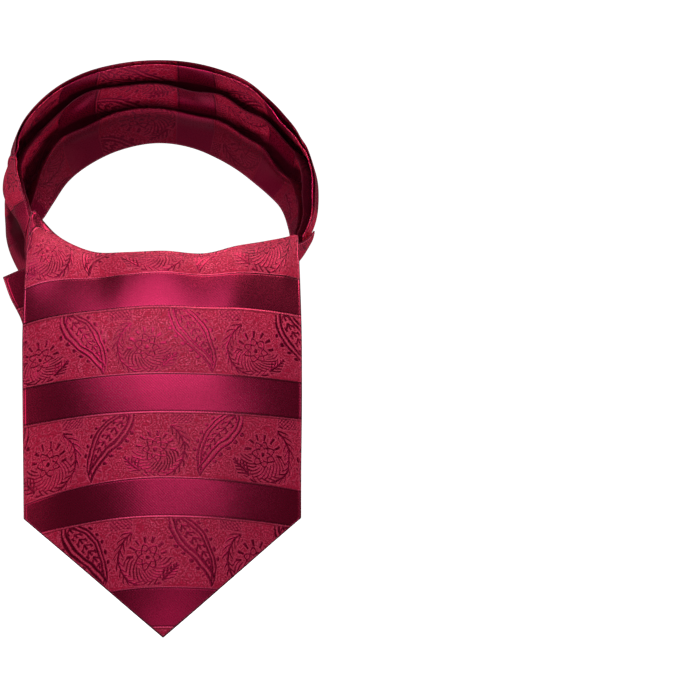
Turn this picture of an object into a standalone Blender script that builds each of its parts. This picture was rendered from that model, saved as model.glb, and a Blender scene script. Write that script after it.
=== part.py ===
"""Silk day cravat, tied, with a pleated neckband and two pointed blades.

Lengths in the tables are millimetres, angles are degrees, and the meshes are metres.  The origin
is the middle of the neck loop, +Z is up and the front of the cravat faces -Y.  The loop lies in a
plane whose back is raised.  A point of it has an angle (0 at the +X side, 90 at the back), an
inset from the outermost layer towards the neck, and a height along the loop's own axis.
"""

import bmesh
import bpy
import numpy as np

MM = 0.001
CLOTH = 1.0            # wall of silk, interlining and silk
LAYER = 1.45           # from the middle of one pleat layer to the next
LOOP_TILT = 34.0       # how far the back of the loop is raised
LOOP_SIDE = 89.0       # half width of the loop at mid height
LOOP_DEPTH = 82.0      # half depth of the loop at mid height
RIM_HEIGHT = 34.0      # height at which the loop has drawn in by the two values below
RIM_DRAW_SIDE = 6.0
RIM_DRAW_DEPTH = 3.5
HEM_RISE = 2.5         # how far the cloth's own edge stands above the first pleat

# Where each stretch of the loop begins and ends.  SEAM is the turn that leaves 0.3 mm at a seam.
SEAM = 0.35
BAND_ANGLES = (-24.5, 172.0)
LEFT_ANGLES = (172.0 + SEAM, 211.3)
WRAP_ANGLES = (211.3 + SEAM - 360.0, -21.0)

PLEAT_POINTS = 23      # points of the pleat section, from its top edge to its bottom edge

# Pleats from the right front round the back, one row for each wave of the folds.  The heights are
# those of the cloth's top edge, of two folded edges on the neck side and of the bottom edge, and
# tuck is how deep the folds are laid.  The rest are insets: of the top edge, of the two folds on
# the outer side (out), of the two folded edges (neck) and of the bottom edge.  lip is how far the
# uppermost fold stands open, and hollow how deep the outer side sinks under the fold above it.
PLEAT_COLUMNS = ("angle", "top", "fold_1", "fold_2", "bottom", "tuck", "hem_in", "lip",
                 "out_1", "neck_1", "out_2", "neck_2", "base_in", "hollow")
PLEAT_ROWS = (
    (-25.0, 7.0, 0.5, -7.0, -24.5, 5.5, 1.8, 0.2, 4.0, 7.6, 6.5, 10.5, 12.5, 0.0),
    (-17.0, 13.0, 6.0, -1.5, -23.5, 6.0, 0.4, 0.3, 3.2, 7.0, 5.2, 10.5, 12.5, 0.2),
    (-8.0, 20.5, 13.5, 3.0, -23.0, 8.0, 0.4, 0.4, 1.4, 8.0, 4.0, 11.5, 13.0, 0.5),
    (4.0, 25.0, 18.5, 1.0, -25.0, 8.0, 1.8, 0.4, 2.4, 9.0, 3.5, 13.5, 14.0, 0.5),
    (18.0, 24.5, 15.0, -5.0, -28.5, 8.0, 2.6, 0.6, 1.4, 8.8, 3.0, 12.5, 13.0, 0.5),
    (30.0, 26.0, 9.5, -10.0, -34.0, 11.0, 3.0, 2.6, 1.3, 7.4, 2.5, 12.0, 10.5, 0.5),
    (42.0, 28.0, 13.0, -8.0, -36.5, 12.0, 2.2, 1.2, 0.6, 6.6, 2.0, 8.8, 9.0, 0.4),
    (55.0, 32.0, 9.5, -9.5, -38.0, 12.0, 0.8, 0.2, 0.3, 5.4, 1.0, 6.6, 6.0, 0.2),
    (65.0, 32.8, 15.0, -6.5, -36.8, 12.0, 0.6, 0.9, 0.3, 5.0, 0.6, 5.4, 5.0, 0.0),
    (77.0, 33.4, 15.0, -7.0, -34.5, 12.0, 0.4, 1.2, 0.3, 7.0, 0.3, 4.4, 4.0, 0.0),
    (91.0, 33.6, 16.8, -3.7, -33.0, 12.0, 0.4, 0.2, 0.3, 4.4, 0.3, 4.4, 3.6, 0.0),
    (106.0, 34.0, 17.5, -3.0, -34.5, 12.0, 0.4, 0.2, 0.3, 4.4, 0.3, 4.6, 4.0, 0.0),
    (122.0, 34.8, 21.0, -3.0, -37.0, 12.0, 0.4, 0.2, 0.3, 5.2, 1.0, 8.6, 5.0, 0.2),
    (136.0, 34.6, 16.0, -3.0, -38.0, 12.0, 0.5, 0.2, 0.3, 6.2, 1.5, 8.6, 7.0, 0.4),
    (150.0, 33.4, 14.0, -10.0, -38.7, 12.0, 0.6, 0.2, 0.3, 7.6, 2.5, 10.6, 10.0, 0.5),
    (161.0, 33.0, 16.5, -15.0, -36.5, 12.0, 0.8, 0.6, 0.2, 8.4, 1.6, 12.2, 12.0, 0.5),
    (172.0, 34.0, 18.5, -16.0, -33.0, 12.0, 1.6, 0.8, 0.0, 8.6, 0.6, 12.8, 13.0, 1.5),
)

# Pleats at the left front, where they open into an upper and a lower strand.
LEFT_ROWS = (
    (172.0, 34.0, 18.5, -16.0, -33.0, 12.0, 1.6, 0.8, 0.0, 8.6, 0.6, 12.8, 13.0, 1.5),
    (180.0, 34.5, 18.0, -13.5, -33.5, 12.0, 2.4, 0.4, 0.3, 9.5, -0.6, 12.0, 12.5, 4.5),
    (189.0, 34.0, 18.5, -11.0, -35.0, 12.0, 2.6, 0.2, 3.0, 10.5, -1.0, 10.5, 10.5, 7.5),
    (198.0, 34.0, 19.0, -11.0, -36.5, 12.0, 2.6, 0.2, 5.5, 10.5, -1.2, 8.5, 7.0, 8.5),
    (207.0, 32.5, 18.5, -11.0, -37.0, 12.0, 1.5, 0.2, 4.5, 8.6, -0.8, 6.5, 3.6, 5.0),
    (213.0, 28.5, 16.0, -11.0, -36.0, 12.0, 0.8, 0.2, 2.4, 6.4, 0.0, 5.4, 3.0, 2.0),
)

# The long end crossing the front of the neck under the fold.
WRAP_COLUMNS = ("angle", "top", "bottom", "inset", "pucker", "gather")
WRAP_ROWS = (
    (-148.5, 30.0, -34.0, 1.2, 0.2, 2.0),
    (-138.0, 25.5, -33.0, 1.5, 0.4, 3.0),
    (-126.0, 24.0, -32.0, 2.0, 0.8, 3.5),
    (-116.0, 26.5, -32.0, 2.2, 0.9, 3.5),
    (-104.0, 31.0, -32.0, 2.2, 1.0, 3.5),
    (-90.0, 34.0, -31.0, 2.2, 1.0, 3.5),
    (-72.0, 29.5, -31.0, 2.2, 1.0, 4.0),
    (-60.0, 28.5, -31.0, 2.0, 0.9, 5.0),
    (-46.0, 21.5, -31.0, 0.6, 0.8, 8.0),
    (-33.0, 13.0, -30.0, -1.6, 0.5, 12.0),
    (-27.0, 9.5, -29.0, -1.9, 0.3, 12.5),
    (-21.0, 7.0, -28.0, -1.7, 0.0, 12.5),
)
WRAP_PUCKERS = 3.0

# The top of the fold, from the cloth's left edge (-1) to its right edge (1).
FOLD_COLUMNS = ("across", "angle", "height", "roll")
FOLD_ROWS = (
    (-1.00, -147.3, 34.4, 3.0),
    (-0.94, -144.5, 32.8, 4.5),
    (-0.87, -141.0, 31.0, 6.0),
    (-0.78, -136.0, 29.5, 6.5),
    (-0.60, -125.0, 29.4, 6.5),
    (-0.45, -116.0, 30.9, 5.5),
    (-0.25, -104.0, 35.9, 5.0),
    (0.00, -90.0, 38.8, 5.0),
    (0.34, -72.0, 34.2, 5.0),
    (0.54, -60.0, 33.2, 5.0),
    (0.76, -46.0, 26.2, 5.5),
    (1.00, -31.5, 15.6, 5.5),
)
FOLD_SPREAD = 2.0      # how soon the fold widens to the width of the blade
RISE_SHARE = 0.22      # share of the blade's rows that lie behind the fold
RISE_FOOT = -4.0       # height at which the cloth behind the fold ends
RISE_LEAN = 0.10       # how it leans in towards the neck on its way down
FOLD_THROW = 15.0      # how far the cloth stands forward as it leaves the crest
FOLD_HEADING = (0.0, -0.98, 0.2)
FOLD_FALL = 62.0       # how straight it falls into the blade below

# The front blade below the fold, one row for each level down its middle.
BLADE_COLUMNS = ("down", "out", "drop", "half", "sag_left", "sag_right", "shift")
BLADE_ROWS = (
    (56.0, 124.0, -52.0, 73.6, 15.0, 13.5, 0.5),
    (85.0, 136.5, -78.2, 73.3, 16.0, 14.5, 0.6),
    (120.0, 149.5, -110.7, 72.8, 18.0, 16.0, 0.6),
    (155.0, 160.3, -144.0, 72.6, 20.5, 17.5, 0.7),
    (190.0, 169.0, -177.9, 72.0, 22.0, 19.0, 0.8),
    (215.0, 174.0, -202.4, 71.6, 22.5, 19.5, 0.8),
)
BLADE_CORNER = 146.5   # length down to the two corners
BLADE_TIP = 208.2      # length down to the point
BLADE_CROWN = 2.2      # power of the curve across the blade

# The short blade behind, with the shoulder corner that stands out at the left.
UNDER_COLUMNS = ("down", "out", "drop", "left", "right", "sag")
UNDER_ROWS = (
    (0.0, 84.0, -22.4, 85.0, 66.0, 13.0),
    (11.0, 90.0, -32.0, 81.0, 70.0, 13.5),
    (23.0, 96.5, -42.4, 75.0, 71.5, 14.5),
    (50.0, 109.5, -65.5, 72.5, 71.5, 16.0),
    (85.0, 127.5, -96.5, 71.5, 70.5, 17.0),
    (125.0, 145.0, -132.5, 70.5, 69.5, 18.5),
    (165.0, 159.0, -170.0, 69.5, 69.0, 19.0),
)
# How its top edge stands above the left shoulder corner.
UNDER_EDGE_COLUMNS = ("across", "rise")
UNDER_EDGE_ROWS = ((-1.0, 0.0), (-0.86, 4.5), (-0.5, 3.5), (0.0, 0.0), (1.0, -2.0))
UNDER_EDGE_FADE = 60.0
UNDER_LEAN = (0.92, 0.38)   # how its sides curve back, and down, for each unit of sag
UNDER_CORNER = 106.0   # lengths down to its corners and its point, and its curve across
UNDER_TIP = 162.0
UNDER_CROWN = 2.0

WINE = (0.30, 0.012, 0.045, 1.0)
SHADED_WINE = (0.20, 0.008, 0.032, 1.0)


def along(rows, columns, name, places):
    """Smooth curve through one column of a table, at the places given in its first column."""
    table = np.array(rows)
    knots = table[:, 0]
    values = table[:, columns.index(name)]
    slopes = np.gradient(values, knots)
    left = np.clip(np.searchsorted(knots, places) - 1, 0, len(knots) - 2)
    width = knots[left + 1] - knots[left]
    step = np.clip((places - knots[left]) / width, 0.0, 1.0)
    rest = 1.0 - step
    return (values[left] * (1.0 + 2.0 * step) * rest**2
            + values[left + 1] * (3.0 - 2.0 * step) * step**2
            + slopes[left] * width * step * rest**2
            - slopes[left + 1] * width * step**2 * rest)


def reader(rows, columns, places):
    """Short form of along() for several columns of one table."""
    return lambda name: along(rows, columns, name, places)


def loop_point(angle, inset, height):
    """Point of the tilted neck loop: an ellipse that draws in above and below its middle."""
    turn = np.radians(angle)
    tilt = np.radians(LOOP_TILT)
    draw = (height / RIM_HEIGHT) ** 2
    side = LOOP_SIDE - RIM_DRAW_SIDE * draw - inset
    depth = LOOP_DEPTH - RIM_DRAW_DEPTH * np.where(height > 0.0, draw, 0.0) - inset
    back = depth * np.sin(turn)
    return np.stack((side * np.cos(turn),
                     back * np.cos(tilt) - height * np.sin(tilt),
                     back * np.sin(tilt) + height * np.cos(tilt)), axis=-1)


def pleat_section(row):
    """Knife pleats from the cloth's top edge down to its bottom edge, as (inset, height) pairs.

    Every leaf hangs from a folded edge on the neck side to a fold on the outer side, and turns
    back up inside the next one, so that three layers lie on each other like shingles.
    """
    top, fold_1, fold_2, bottom = (row(name) for name in ("top", "fold_1", "fold_2", "bottom"))
    hem_in, out_1, neck_1 = row("hem_in"), row("out_1"), row("neck_1")
    out_2, neck_2, base_in = row("out_2"), row("neck_2"), row("base_in")
    tuck = row("tuck")
    out_0 = hem_in - 0.4
    lip = out_0 + LAYER + 0.3 + row("lip")
    low_0 = top - HEM_RISE - tuck
    low_1 = fold_1 - tuck
    low_2 = fold_2 - tuck
    under_0 = out_0 + 2.0 * LAYER
    under_1 = out_1 + 2.0 * LAYER + row("hollow")
    under_2 = out_2 + 2.0 * LAYER + 0.3 * np.maximum(base_in - out_2 - 2.0 * LAYER, 0.0)
    points = (
        (hem_in, top),
        (0.5 * (hem_in + out_0), top - 0.5 * (HEM_RISE + tuck)),
        (out_0, low_0),
        (out_0 + LAYER, low_0),
        (lip, top - HEM_RISE),
        (lip + LAYER, top - HEM_RISE),
        (under_0 + 0.4 * (lip - out_0 - LAYER), low_0 + 0.4 * tuck),
        (under_0, low_0 - 1.0),
        (0.5 * (under_0 + out_1), 0.5 * (low_0 + low_1)),
        (out_1, low_1),
        (out_1 + LAYER, low_1),
        (neck_1, fold_1),
        (neck_1 + LAYER, fold_1),
        (0.5 * (neck_1 + LAYER + under_1) + 0.1, 0.5 * (fold_1 + low_1)),
        (under_1, low_1 - 1.0),
        (0.3 * under_1 + 0.7 * out_2, 0.45 * low_1 + 0.55 * low_2),
        (out_2, low_2),
        (out_2 + LAYER, low_2),
        (neck_2, fold_2),
        (neck_2 + LAYER, fold_2),
        (0.5 * (neck_2 + LAYER + under_2) + 0.1, 0.5 * (fold_2 + low_2)),
        (under_2, low_2 - 1.0),
        (base_in, bottom),
    )
    return (np.stack([inset for inset, height in points]),
            np.stack([height for inset, height in points]))


def pleats(rows, first, last):
    """Surface of a pleated stretch: the pleat section carried round the loop."""

    def surface(across, around):
        angle = first + (last - first) * around
        insets, heights = pleat_section(reader(rows, PLEAT_COLUMNS, angle))
        place = np.rint(across * (PLEAT_POINTS - 1)).astype(int)
        pick = np.arange(len(angle))
        return loop_point(angle, insets[place, pick], heights[place, pick])

    return surface


def front_wrap(across, around):
    """Band across the front: a curved wall, drawn in below, with soft puckers running along it."""
    first, last = WRAP_ANGLES
    angle = first + (last - first) * around
    row = reader(WRAP_ROWS, WRAP_COLUMNS, angle)
    height = row("bottom") + (row("top") - row("bottom")) * across
    low = 1.0 - across
    pucker = row("pucker") * np.sin(2.0 * np.pi * WRAP_PUCKERS * across + 0.4) * low
    return loop_point(angle, row("inset") + pucker + row("gather") * low**1.6, height)


def fold_top(across):
    """Crest of the fold, which follows the front of the loop."""
    row = reader(FOLD_ROWS, FOLD_COLUMNS, across)
    return row("angle"), row("height"), row("roll")


def blade_body(across, down):
    """Front blade below the fold: shallow arches across, hung on one curve down the middle."""
    row = reader(BLADE_ROWS, BLADE_COLUMNS, down)
    step = 0.5
    ahead = reader(BLADE_ROWS, BLADE_COLUMNS, np.minimum(down + step, BLADE_ROWS[-1][0]))
    behind = reader(BLADE_ROWS, BLADE_COLUMNS, np.maximum(down - step, BLADE_ROWS[0][0]))
    run_out = ahead("out") - behind("out")
    run_down = behind("drop") - ahead("drop")
    length = np.hypot(run_out, run_down)
    sag = np.where(across < 0.0, row("sag_left"), row("sag_right")) * np.abs(across) ** BLADE_CROWN
    return np.stack((row("shift") + row("half") * across,
                     -row("out") + sag * run_down / length,
                     row("drop") - sag * run_out / length), axis=-1)


def blade_end(across, corner, tip):
    """Length of a blade at a place across it, down to its pointed end."""
    return tip - (tip - corner) * np.abs(across)


def front_blade(across, down):
    """Long blade: up inside the loop, over the crest, and down to the point."""
    across = 2.0 * across - 1.0
    angle, crest, roll = fold_top(across)
    start = BLADE_ROWS[0][0]
    rise = RISE_SHARE
    # Behind the fold: a quarter turn over the crest, then straight down inside the loop.
    arc = 0.5 * np.pi * roll
    length = (arc + crest - roll - RISE_FOOT) * np.clip((rise - down) / rise, 0.0, 1.0)
    turn = np.minimum(length / roll, 0.5 * np.pi)
    straight = np.maximum(length - arc, 0.0)
    inside = loop_point(angle, roll * np.sin(turn) + RISE_LEAN * straight,
                        crest - roll * (1.0 - np.cos(turn)) - straight)
    # In front of the fold: one smooth curve from the crest to the body of the blade.
    along_front = np.clip((down - rise) / (1.0 - rise), 0.0, 1.0) * blade_end(
        across, BLADE_CORNER, BLADE_TIP)
    fall = np.clip(along_front / start, 0.0, 1.0)[:, None]
    crest_point = loop_point(angle, 0.0 * angle, crest)
    join = blade_body(across, start + 0.0 * down)
    join_run = (blade_body(across, start + 1.0 + 0.0 * down) - join)
    throw = FOLD_THROW * np.array(FOLD_HEADING) + (join - crest_point) * (FOLD_SPREAD, 0.0, 0.0)
    over = (crest_point * (1.0 + 2.0 * fall) * (1.0 - fall) ** 2
            + join * (3.0 - 2.0 * fall) * fall**2
            + throw * fall * (1.0 - fall) ** 2
            - FOLD_FALL * join_run * fall**2 * (1.0 - fall))
    body = blade_body(across, np.maximum(along_front, start))
    front = np.where(along_front[:, None] < start, over, body)
    return np.where(down[:, None] < rise, inside, front)


def under_blade(across, down):
    """Short blade: a hemmed top edge with a shoulder corner, and a point like the long one's."""
    across = 2.0 * across - 1.0
    length = down * blade_end(across, UNDER_CORNER, UNDER_TIP)
    row = reader(UNDER_ROWS, UNDER_COLUMNS, length)
    half = np.where(across < 0.0, row("left"), row("right"))
    sag = row("sag") * np.abs(across) ** UNDER_CROWN
    edge = along(UNDER_EDGE_ROWS, UNDER_EDGE_COLUMNS, "rise", across)
    edge = edge * np.clip(1.0 - length / UNDER_EDGE_FADE, 0.0, 1.0)
    return np.stack((half * across,
                     -row("out") + UNDER_LEAN[0] * sag,
                     row("drop") - UNDER_LEAN[1] * sag + edge), axis=-1)


def silk(name, colour):
    """Plain silk material for one piece."""
    material = bpy.data.materials.new(name + "_silk")
    material.use_nodes = True
    shader = material.node_tree.nodes["Principled BSDF"]
    shader.inputs["Base Color"].default_value = colour
    shader.inputs["Roughness"].default_value = 0.4
    shader.inputs["Metallic"].default_value = 0.0
    return material


def cloth(name, surface, across, down, colour, collection):
    """One piece of cloth: a grid laid on a surface and given the thickness of the wall."""
    grid = bmesh.new()
    bmesh.ops.create_grid(grid, x_segments=across, y_segments=down, size=0.5)
    places = np.array([(vert.co.x + 0.5, vert.co.y + 0.5) for vert in grid.verts])
    for vert, place in zip(grid.verts, surface(places[:, 0], places[:, 1]) * MM):
        vert.co = place
    mesh = bpy.data.meshes.new(name)
    grid.to_mesh(mesh)
    grid.free()
    mesh.shade_smooth()
    mesh.materials.append(silk(name, colour))
    piece = bpy.data.objects.new(name, mesh)
    collection.objects.link(piece)
    wall = piece.modifiers.new("wall", "SOLIDIFY")
    wall.thickness = CLOTH * MM
    wall.offset = 0.0
    return piece


for old in list(bpy.data.objects):
    bpy.data.objects.remove(old, do_unlink=True)

cravat = bpy.data.collections.new("silk_cravat")
bpy.context.scene.collection.children.link(cravat)

cloth("neckband_pleats", pleats(PLEAT_ROWS, *BAND_ANGLES),
      PLEAT_POINTS - 1, 58, SHADED_WINE, cravat)
cloth("left_pleats", pleats(LEFT_ROWS, *LEFT_ANGLES),
      PLEAT_POINTS - 1, 16, WINE, cravat)
cloth("front_wrap", front_wrap, 9, 28, WINE, cravat)
cloth("front_blade", front_blade, 26, 46, WINE, cravat)
cloth("under_blade", under_blade, 18, 24, SHADED_WINE, cravat)
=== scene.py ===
import bpy
import numpy as np
from mathutils import Matrix


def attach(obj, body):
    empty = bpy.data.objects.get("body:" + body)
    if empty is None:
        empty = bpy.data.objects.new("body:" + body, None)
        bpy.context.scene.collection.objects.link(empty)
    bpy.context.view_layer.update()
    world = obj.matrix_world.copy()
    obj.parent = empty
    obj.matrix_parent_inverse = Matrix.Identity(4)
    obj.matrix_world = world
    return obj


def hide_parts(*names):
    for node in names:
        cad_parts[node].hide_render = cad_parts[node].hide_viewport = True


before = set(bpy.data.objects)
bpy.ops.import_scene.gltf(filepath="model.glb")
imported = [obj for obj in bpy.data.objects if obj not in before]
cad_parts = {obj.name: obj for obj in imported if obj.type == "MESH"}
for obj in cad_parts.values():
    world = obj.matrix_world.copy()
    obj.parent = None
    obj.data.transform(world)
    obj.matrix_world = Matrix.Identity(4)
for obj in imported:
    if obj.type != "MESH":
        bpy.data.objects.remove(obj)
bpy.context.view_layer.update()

# ---------------------------------------------------------------------------------------------
# Pleated neckband.  The middle of one long strip of striped silk, laid in three knife pleats
# that lie on each other like shingles and run round the neck.  Nothing is sewn on it: the pleats
# are pressed in, and open into an upper and a lower strand where the strip comes forward.
# ---------------------------------------------------------------------------------------------
# Lengths in the tables are millimetres and angles degrees.  The loop's axis leans back by
# LOOP_TILT, 0 degrees is at the right and 90 at the back.
MM = 0.001
LOOP_TILT = 34.0
LOOP_SIDE = 89.0
LOOP_DEPTH = 82.0
RIM_HEIGHT = 34.0
RIM_DRAW_SIDE = 6.0
RIM_DRAW_DEPTH = 3.5

HEM_RISE = 2.5
PLEAT_CLOTH = 0.3
PLEAT_LAYER = 0.6
PLEAT_RIM = 0.1            # rounding of the cut edge
STRIP_HALF = 75.0          # half the strip's full width
BAND_START = -24.5
BAND_END = 211.7
BAND_STEPS = 390
BAND_ROUNDING = 2.4        # points of the finished section for each point that shapes it

PLEAT_COLUMNS = ("angle", "top", "fold_1", "fold_2", "bottom", "tuck", "hem_in", "lip",
                 "out_1", "neck_1", "out_2", "neck_2", "base_in", "hollow")
PLEAT_ROWS = (
    (-25.0, 7.0, 0.5, -7.0, -24.5, 5.5, 1.8, 0.2, 4.0, 7.6, 6.5, 10.5, 12.5, 0.0),
    (-17.0, 13.0, 6.0, -1.5, -23.5, 6.0, 0.4, 0.3, 3.2, 7.0, 5.2, 10.5, 12.5, 0.2),
    (-8.0, 20.5, 13.5, 3.0, -23.0, 8.0, 0.4, 0.4, 1.4, 8.0, 4.0, 11.5, 13.0, 0.5),
    (4.0, 25.0, 18.5, 1.0, -25.0, 8.0, 1.8, 0.4, 2.4, 9.0, 3.5, 13.5, 14.0, 0.5),
    (18.0, 24.5, 15.0, -5.0, -28.5, 8.0, 2.6, 0.6, 1.4, 8.8, 3.0, 12.5, 13.0, 0.5),
    (30.0, 26.0, 9.5, -10.0, -34.0, 11.0, 3.0, 2.6, 1.3, 7.4, 2.5, 12.0, 10.5, 0.5),
    (42.0, 28.0, 13.0, -8.0, -36.5, 12.0, 2.2, 1.2, 0.6, 6.6, 2.0, 8.8, 9.0, 0.4),
    (55.0, 32.0, 9.5, -9.5, -38.0, 12.0, 0.8, 0.2, 0.3, 5.4, 1.0, 6.6, 6.0, 0.2),
    (65.0, 32.8, 15.0, -6.5, -36.8, 12.0, 0.6, 0.9, 0.3, 5.0, 0.6, 5.4, 5.0, 0.0),
    (77.0, 33.4, 15.0, -7.0, -34.5, 12.0, 0.4, 1.2, 0.3, 7.0, 0.3, 4.4, 4.0, 0.0),
    (91.0, 33.6, 16.8, -3.7, -33.0, 12.0, 0.4, 0.2, 0.3, 4.4, 0.3, 4.4, 3.6, 0.0),
    (106.0, 34.0, 17.5, -3.0, -34.5, 12.0, 0.4, 0.2, 0.3, 4.4, 0.3, 4.6, 4.0, 0.0),
    (122.0, 34.8, 21.0, -3.0, -37.0, 12.0, 0.4, 0.2, 0.3, 5.2, 1.0, 8.6, 5.0, 0.2),
    (136.0, 34.6, 16.0, -3.0, -38.0, 12.0, 0.5, 0.2, 0.3, 6.2, 1.5, 8.6, 7.0, 0.4),
    (150.0, 33.4, 14.0, -10.0, -38.7, 12.0, 0.6, 0.2, 0.3, 7.6, 2.5, 10.6, 10.0, 0.5),
    (161.0, 33.0, 16.5, -15.0, -36.5, 12.0, 0.8, 0.6, 0.2, 8.4, 1.6, 12.2, 12.0, 0.5),
    (172.0, 34.0, 18.5, -16.0, -33.0, 12.0, 1.6, 0.8, 0.0, 8.6, 0.2, 12.8, 12.5, 0.5),
    (180.0, 34.5, 18.0, -13.5, -34.5, 12.0, 2.4, 0.4, 0.6, 9.5, -0.6, 12.0, 11.0, 1.0),
    (189.0, 34.0, 18.5, -11.0, -37.0, 12.0, 2.6, 0.2, 3.0, 10.5, -1.0, 10.5, 7.5, 4.0),
    (198.0, 34.0, 19.0, -11.0, -38.5, 12.0, 2.6, 0.2, 5.5, 10.5, -1.2, 8.5, 3.5, 8.5),
    (207.0, 32.5, 18.5, -11.0, -38.5, 12.0, 1.5, 0.2, 4.5, 8.6, -0.8, 6.5, 1.5, 5.0),
    (213.0, 28.5, 16.0, -11.0, -36.0, 12.0, 0.8, 0.2, 2.4, 6.4, 0.0, 5.4, 3.0, 2.0),
)

# Between which points of the section more are put, and how far along, so that the leaves stay
# straight and only their folds are round.
LEAF_POINTS = ((1, 0.8), (3, 0.12), (3, 0.5), (3, 0.88), (5, 0.15), (8, 0.5), (8, 0.85),
               (10, 0.12), (10, 0.5), (10, 0.88), (12, 0.15), (13, 0.5), (15, 0.5), (15, 0.85),
               (17, 0.12), (17, 0.5), (17, 0.88), (19, 0.15), (20, 0.5), (21, 0.3), (21, 0.7))
POCKET_REACH = 1.1         # how far above the next pleat's fold its painted shadow starts and how deep the painted shade is all over the lowest leaf
BASE_SHADE = 0.79          # and how dark the lowest leaf is, where the neck rubs it

# Soft dents and swells of the band: angle and height of the middle, how deep it is pressed in
# (negative stands out), its half length in degrees, its half height, and its slant in degrees
# for each millimetre of height.
BAND_CREASES = (
    (-8.0, 16.0, 1.1, 5.0, 5.0, 0.4),
    (6.0, 8.0, -0.9, 6.0, 6.0, -0.3),
    (17.0, 20.0, 1.0, 3.5, 6.0, 0.5),
    (27.0, 2.0, -0.8, 5.0, 7.0, 0.3),
    (36.0, 18.0, 0.9, 4.0, 6.0, -0.4),
    (38.0, -16.0, 0.7, 5.0, 8.0, 0.2),
    (49.0, 6.0, -0.8, 5.5, 6.0, 0.4),
    (60.0, 24.0, 0.8, 4.5, 5.0, -0.5),
    (63.0, -20.0, -0.7, 6.0, 8.0, 0.3),
    (73.0, 3.0, 0.9, 5.0, 6.0, 0.2),
    (82.0, 24.0, -0.6, 6.0, 6.0, 0.3),
    (90.0, -22.0, 0.6, 7.0, 7.0, -0.3),
    (98.0, 8.0, -0.7, 5.0, 6.0, 0.3),
    (108.0, 26.0, 0.8, 5.5, 5.0, 0.4),
    (113.0, -18.0, -0.8, 5.0, 9.0, -0.2),
    (121.0, 6.0, 0.9, 4.0, 7.0, -0.4),
    (131.0, 25.0, -0.8, 5.0, 6.0, 0.3),
    (134.0, -20.0, 0.8, 6.0, 8.0, 0.3),
    (143.0, 4.0, -0.9, 4.0, 6.0, 0.4),
    (152.0, 22.0, 1.0, 3.5, 5.0, -0.5),
    (155.0, -24.0, -0.8, 4.5, 6.0, 0.3),
    (164.0, 5.0, 1.0, 3.5, 7.0, 0.4),
    (171.0, 26.0, 1.2, 2.2, 6.0, 0.3),
    (176.0, 27.0, -1.0, 2.0, 6.0, 0.3),
    (183.0, -22.0, -0.5, 7.0, 5.0, 0.9),
    (188.0, 24.0, 1.0, 4.0, 7.0, 0.5),
    (197.0, -26.0, 0.8, 8.0, 4.0, 0.8),
    (203.0, 20.0, -1.0, 4.0, 6.0, 0.6),
)

# Where the woven stripes cross the band: ring angle, and length along the strip.
BAND_WEAVE = ((-30.0, 218.0), (-13.0, 189.0), (2.5, 168.0), (27.5, 133.0), (44.5, 112.0),
              (68.5, 77.0), (84.0, 56.0), (115.5, 21.0), (133.0, 0.0), (158.0, -35.0),
              (173.0, -56.0), (198.0, -91.0), (213.0, -112.0))
BAND_WEAVE_SHIFT = 0.5     # how far the lower strand's stripes lag at the left, degrees per mm
BAND_SHIFT_FROM = 158.0
BAND_SHIFT_FULL = 180.0


def along(rows, columns, name, places):
    """Smooth curve through one column of a table, with the slopes of its neighbouring rows."""
    table = np.array(rows)
    knots = table[:, 0]
    values = table[:, columns.index(name)]
    slopes = np.gradient(values, knots)
    left = np.clip(np.searchsorted(knots, places) - 1, 0, len(knots) - 2)
    width = knots[left + 1] - knots[left]
    step = np.clip((places - knots[left]) / width, 0.0, 1.0)
    rest = 1.0 - step
    return (values[left] * (1.0 + 2.0 * step) * rest**2
            + values[left + 1] * (3.0 - 2.0 * step) * step**2
            + slopes[left] * width * step * rest**2
            - slopes[left + 1] * width * step**2 * rest)


def reader(rows, columns, places):
    """Short form of along() for several columns of one table."""
    return lambda name: along(rows, columns, name, places)


def loop_point(angle, inset, height):
    """Point of the tilted neck loop: an ellipse that draws in above and below its middle."""
    turn = np.radians(angle)
    tilt = np.radians(LOOP_TILT)
    draw = (height / RIM_HEIGHT) ** 2
    side = LOOP_SIDE - RIM_DRAW_SIDE * draw - inset
    depth = LOOP_DEPTH - RIM_DRAW_DEPTH * np.where(height > 0.0, draw, 0.0) - inset
    back = depth * np.sin(turn)
    return np.stack((side * np.cos(turn),
                     back * np.cos(tilt) - height * np.sin(tilt),
                     back * np.sin(tilt) + height * np.cos(tilt)), axis=-1)


def creases(rows, along_place, across_place):
    """Sum of soft bell-shaped dents, each with its own depth, length, width and slant."""
    total = np.zeros(np.shape(along_place))
    for middle, level, depth, half_along, half_across, slant in rows:
        off = across_place - level
        far = (along_place - middle - slant * off) / half_along
        total = total + depth * np.exp(-far**2 - (off / half_across) ** 2)
    return total


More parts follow.
